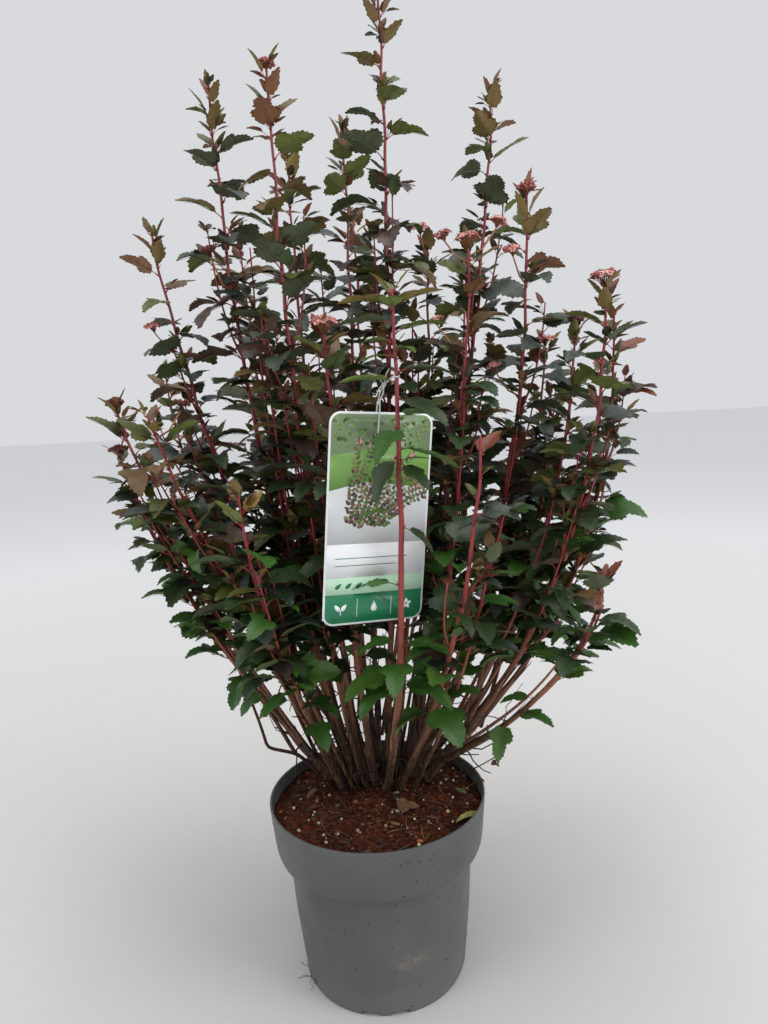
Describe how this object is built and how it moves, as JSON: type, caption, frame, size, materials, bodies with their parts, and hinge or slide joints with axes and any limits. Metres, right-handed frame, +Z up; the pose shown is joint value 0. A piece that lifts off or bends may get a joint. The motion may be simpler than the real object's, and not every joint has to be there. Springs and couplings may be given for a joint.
{
  "type": "potted ninebark",
  "caption": "Multi-stemmed purple-leaved ninebark shrub in a round grey nursery pot, with upright leafy stems, pink flower heads and a hanging plant label.",
  "frame": {"origin": "on the pot's axis, at the flat underside of the pot", "axes": "+Z up along the pot's axis, +Y away from the front of the plant, +X to the right seen from the front"},
  "size_m": [0.5057, 0.4414, 0.908],
  "materials": {
    "pot_plastic": "matt injection-moulded grey polypropylene, faintly blue-green, scuffed",
    "potting_mix": "moist red-brown peat and bark fibre with pale fertiliser grains",
    "stem_bark": "thin brown bark that peels in strips at the foot and turns red higher up",
    "bough_bark": "smooth crimson young bark",
    "leaves_dark": "dark purple-green lobed leaves, satin",
    "leaves_copper": "copper and bronze young leaves, satin",
    "leaves_fresh": "fresh green leaves, satin",
    "blossom": "small pink five-petalled flowers in domed heads",
    "label_card": "printed plastic card",
    "label_elastic": "white knitted elastic"
  },
  "bodies": {
    "root": {"pot": "pot_plastic", "potting_mix": "potting_mix", "label": "label_card", "label_tie": "label_elastic", "stem_left_low": "stem_bark", "stem_left_copper": "stem_bark", "stem_left_high": "stem_bark", "stem_left_tall": "stem_bark", "stem_left_bud": "stem_bark", "stem_left_back": "stem_bark", "stem_leader": "stem_bark", "stem_front_corymb": "stem_bark", "stem_front_centre": "stem_bark", "stem_front_right": "stem_bark", "stem_right_tall": "stem_bark", "stem_right_second": "stem_bark", "stem_right_corymb": "stem_bark", "stem_right_edge": "stem_bark", "stem_back_left": "stem_bark", "stem_back_middle": "stem_bark", "stem_back_right": "stem_bark", "bough_left_corymb": "bough_bark", "bough_front_left": "bough_bark", "bough_middle_back": "bough_bark", "bough_middle_copper": "bough_bark", "bough_right_trio": "bough_bark", "bough_right_pink": "bough_bark", "bough_right_inner": "bough_bark", "bough_right_low": "bough_bark", "bough_far_left": "bough_bark", "bough_far_right": "bough_bark", "bough_far_back": "bough_bark", "leaves_left_low": "leaves_fresh", "leaves_left_copper": "leaves_copper", "leaves_left_high": "leaves_dark", "leaves_left_tall": "leaves_dark", "leaves_left_bud": "leaves_dark", "leaves_left_back": "leaves_dark", "leaves_leader": "leaves_dark", "leaves_front_corymb": "leaves_dark", "leaves_front_centre": "leaves_dark", "leaves_front_right": "leaves_fresh", "leaves_right_tall": "leaves_dark", "leaves_right_second": "leaves_dark", "leaves_right_corymb": "leaves_dark", "leaves_right_edge": "leaves_dark", "leaves_back_left": "leaves_dark", "leaves_back_middle": "leaves_dark", "leaves_back_right": "leaves_dark", "leaves_left_corymb": "leaves_dark", "leaves_front_left": "leaves_fresh", "leaves_middle_back": "leaves_dark", "leaves_middle_copper": "leaves_copper", "leaves_right_trio": "leaves_dark", "leaves_right_pink": "leaves_dark", "leaves_right_inner": "leaves_dark", "leaves_right_low": "leaves_fresh", "leaves_far_left": "leaves_dark", "leaves_far_right": "leaves_dark", "leaves_far_back": "leaves_dark"}
  },
  "joints": []
}
